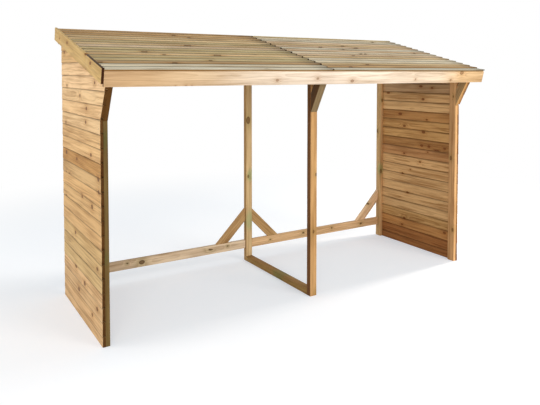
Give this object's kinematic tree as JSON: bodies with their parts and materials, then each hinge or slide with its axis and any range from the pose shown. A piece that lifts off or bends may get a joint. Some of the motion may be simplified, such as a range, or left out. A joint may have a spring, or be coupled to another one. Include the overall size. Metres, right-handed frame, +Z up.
{
  "type": "log store",
  "caption": "Open-fronted timber log store with boarded side walls, an open middle frame, a low braced back rail and a pent roof of lapped boards.",
  "frame": {"origin": "on the ground, under the middle of the whole store's box", "axes": "+X along the front to the right, +Y from the open front to the back, +Z up"},
  "size_m": [3.322, 1.2586, 2.0202],
  "materials": {
    "side_timber": "rough-sawn, pressure-treated softwood",
    "middle_timber": "rough-sawn, pressure-treated softwood",
    "wall_boards": "rough-sawn, pressure-treated softwood",
    "rail_timber": "rough-sawn, pressure-treated softwood",
    "roof_timber": "rough-sawn, pressure-treated softwood",
    "roof_boards": "rough-sawn, pressure-treated softwood",
    "trim_boards": "rough-sawn, pressure-treated softwood"
  },
  "bodies": {
    "root": {"left_front_post": "side_timber", "left_rear_post": "side_timber", "right_front_post": "side_timber", "right_rear_post": "side_timber", "left_rafter": "side_timber", "right_rafter": "side_timber", "left_bracket": "side_timber", "right_bracket": "side_timber", "mid_front_post": "middle_timber", "mid_rear_post": "middle_timber", "mid_base_rail": "middle_timber", "mid_rafter": "middle_timber", "mid_bracket": "middle_timber", "left_cladding": "wall_boards", "right_cladding": "wall_boards", "left_back_rail": "rail_timber", "right_back_rail": "rail_timber", "left_post_brace": "rail_timber", "mid_left_brace": "rail_timber", "mid_right_brace": "rail_timber", "right_post_brace": "rail_timber", "left_verge_batten": "roof_timber", "left_bay_batten": "roof_timber", "left_joint_batten": "roof_timber", "right_joint_batten": "roof_timber", "right_bay_batten": "roof_timber", "right_verge_batten": "roof_timber", "left_starter_strip": "roof_timber", "right_starter_strip": "roof_timber", "left_roof_boards": "roof_boards", "right_roof_boards": "roof_boards", "front_fascia": "trim_boards", "rear_fascia": "trim_boards", "barge_board": "trim_boards"}
  },
  "joints": []
}
